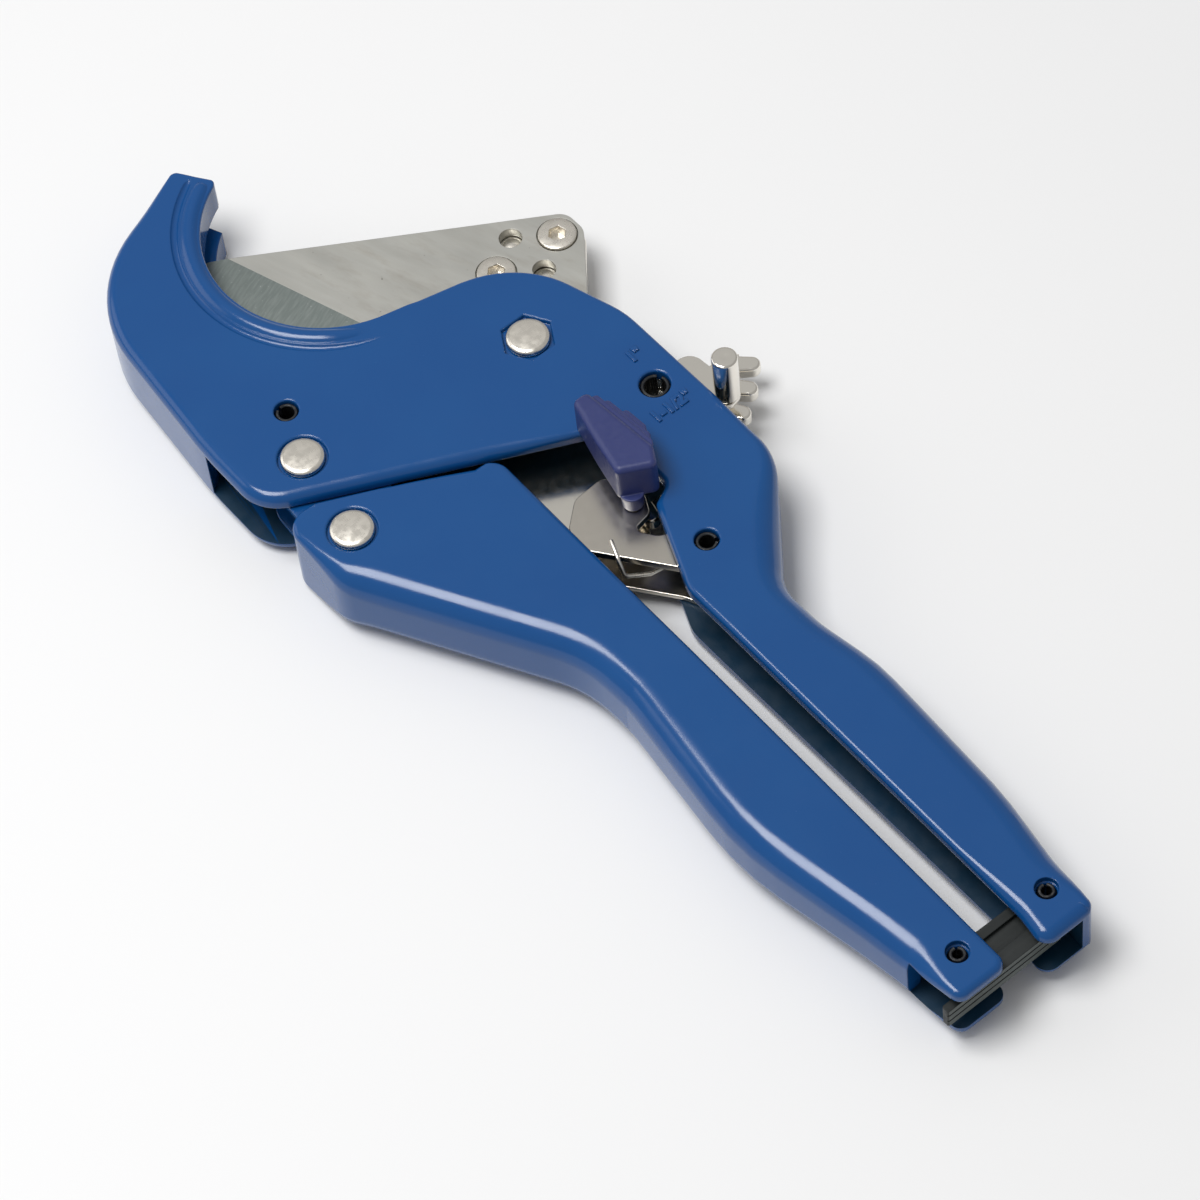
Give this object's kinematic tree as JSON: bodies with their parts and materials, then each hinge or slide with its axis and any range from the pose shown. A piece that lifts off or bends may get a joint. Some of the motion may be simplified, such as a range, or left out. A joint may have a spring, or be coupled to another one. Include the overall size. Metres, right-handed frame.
{
  "type": "ratcheting plastic pipe cutter",
  "caption": "Hand pipe cutter: hooked jaw and grip in one casting, hinged lower grip, ratcheting blade, thumb release lever, opening selector and grip latch.",
  "frame": {"origin": "where the blade's pivot axis meets the plane the tool lies on, at the far end of the pivot rivet", "axes": "+X along the closed grips towards their ends, +Y towards the side the blade opens to, +Z out of the face with the thumb lever"},
  "size_m": [0.2274, 0.0897, 0.0251],
  "materials": {
    "blue_paint": "gloss blue enamel on a casting",
    "ground_steel": "ground steel",
    "nickel_plate": "bright nickel plate",
    "black_oxide": "black oxide spring steel",
    "violet_plastic": "moulded violet-blue plastic, satin",
    "black_nylon": "moulded black nylon"
  },
  "bodies": {
    "frame": {"frame_casting": "blue_paint", "blade_pivot_rivet": "nickel_plate", "handle_pivot_rivet": "nickel_plate", "blade_bush": "ground_steel", "handle_bush": "ground_steel", "stop_roll_pin": "black_oxide", "selector_roll_pin": "black_oxide", "release_roll_pin": "black_oxide", "catch_roll_pin": "black_oxide", "handle_spring": "nickel_plate", "blade_spring": "nickel_plate"},
    "handle": {"handle_casting": "blue_paint", "handle_strap_near": "blue_paint", "handle_strap_far": "blue_paint", "handle_strap_rivet": "nickel_plate", "pawl_pin": "ground_steel", "drive_pawl_spring": "nickel_plate", "latch_roll_pin": "black_oxide"},
    "drive_pawl": {"drive_pawl": "ground_steel"},
    "blade": {"blade": "ground_steel", "blade_carrier": "nickel_plate", "blade_screw_1": "nickel_plate", "blade_screw_2": "nickel_plate", "blade_dowel_1": "nickel_plate", "blade_dowel_2": "nickel_plate"},
    "release_lever": {"release_plate_near": "nickel_plate", "release_plate_far": "nickel_plate", "hold_pawl": "ground_steel", "hold_pawl_rivet": "nickel_plate", "thumb_lever": "violet_plastic", "thumb_lever_pin": "nickel_plate", "release_spring": "nickel_plate"},
    "selector": {"selector_plate": "nickel_plate", "selector_post": "nickel_plate"},
    "latch": {"latch": "black_nylon"}
  },
  "joints": [
    {"name": "handle_squeeze", "type": "hinge", "parent": "frame", "child": "handle", "pos_m": [-0.0065, -0.0461, 0.0086], "axis": [0, 0, 1], "range_deg": [-34, 0]},
    {"name": "blade_swing", "type": "hinge", "parent": "frame", "child": "blade", "pos_m": [0, 0, 0.0086], "axis": [0, 0, 1], "range_deg": [-70, 0]},
    {"name": "drive_pawl_turn", "type": "hinge", "parent": "handle", "child": "drive_pawl", "pos_m": [0.0225, -0.0405, 0.0086], "axis": [0, 0, 1], "range_deg": [0, 68]},
    {"name": "release_press", "type": "hinge", "parent": "frame", "child": "release_lever", "pos_m": [0.0552, -0.0047, 0.0086], "axis": [0, 0, 1], "range_deg": [-8, 0], "stiffness_Nm_per_rad": 0.3},
    {"name": "selector_turn", "type": "hinge", "parent": "frame", "child": "selector", "pos_m": [0.0234, 0.0101, 0.0086], "axis": [0, 0, 1], "range_deg": [0, 70]},
    {"name": "latch_swing", "type": "hinge", "parent": "handle", "child": "latch", "pos_m": [0.1448, -0.0268, 0.0086], "axis": [0, 0, 1], "range_deg": [-60, 0]}
  ],
  "couplings": [
    {"joint": "blade_swing", "follows": "handle_squeeze", "ratio": 2.0588},
    {"joint": "drive_pawl_turn", "follows": "handle_squeeze", "ratio": -2}
  ]
}
